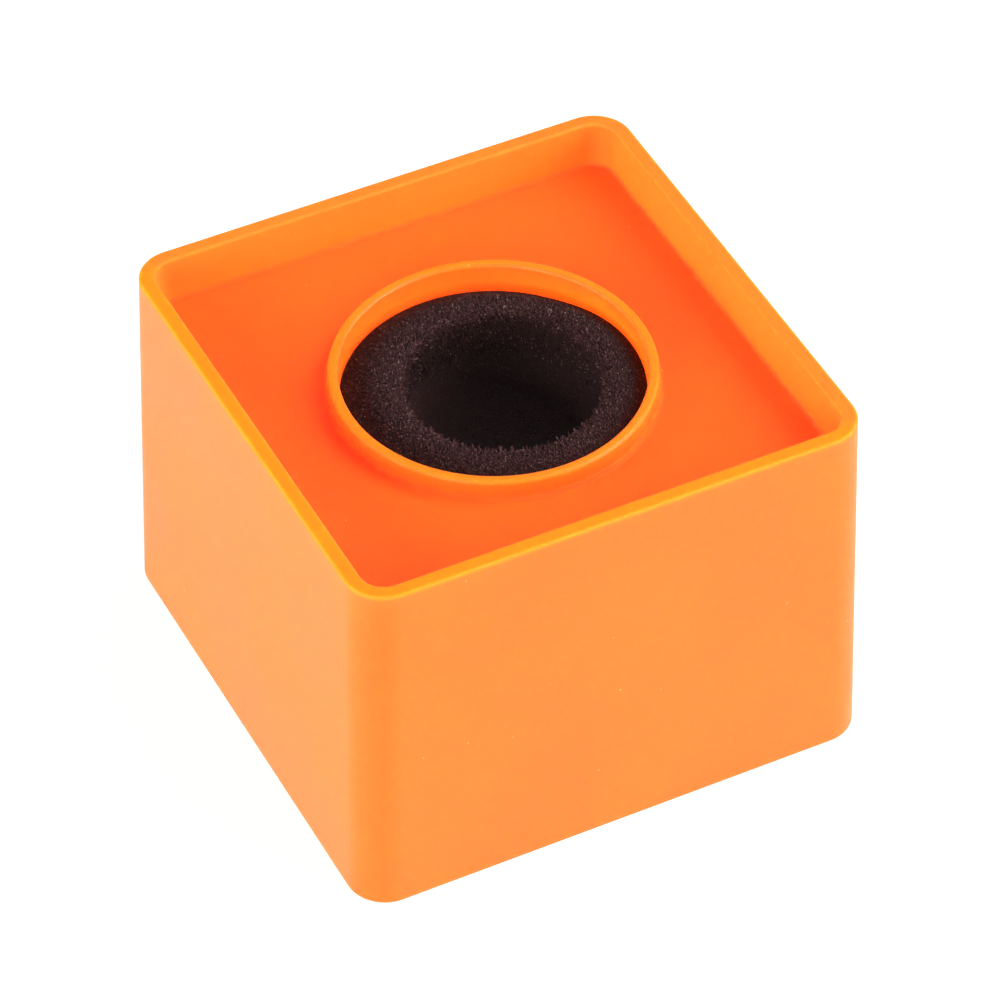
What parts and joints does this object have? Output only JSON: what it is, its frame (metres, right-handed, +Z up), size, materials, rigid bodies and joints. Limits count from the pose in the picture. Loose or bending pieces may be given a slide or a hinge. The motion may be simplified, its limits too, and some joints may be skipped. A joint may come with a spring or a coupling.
{
  "type": "microphone flag",
  "caption": "Blank square microphone flag: a drafted plastic shell with a sunken deck and a round collar, gripping the handle through a foam sleeve.",
  "frame": {"origin": "centre of the square footprint, on the plane that the lower rim stands on", "axes": "+Z up along the microphone's bore, towards the recessed deck; -Y out of the front label face; +X out of the right label face"},
  "size_m": [0.0754, 0.0754, 0.055],
  "materials": {
    "orange_abs": "satin moulded ABS, dyed through, bright orange",
    "black_foam": "black open-cell polyurethane foam, fine pores"
  },
  "bodies": {
    "body": {"moulded_body": "orange_abs"},
    "foam": {"foam_sleeve": "black_foam"}
  },
  "joints": [
    {"name": "foam_pull", "type": "slide", "parent": "body", "child": "foam", "axis": [0, 0, 1], "range_m": [0, 0.055]}
  ]
}
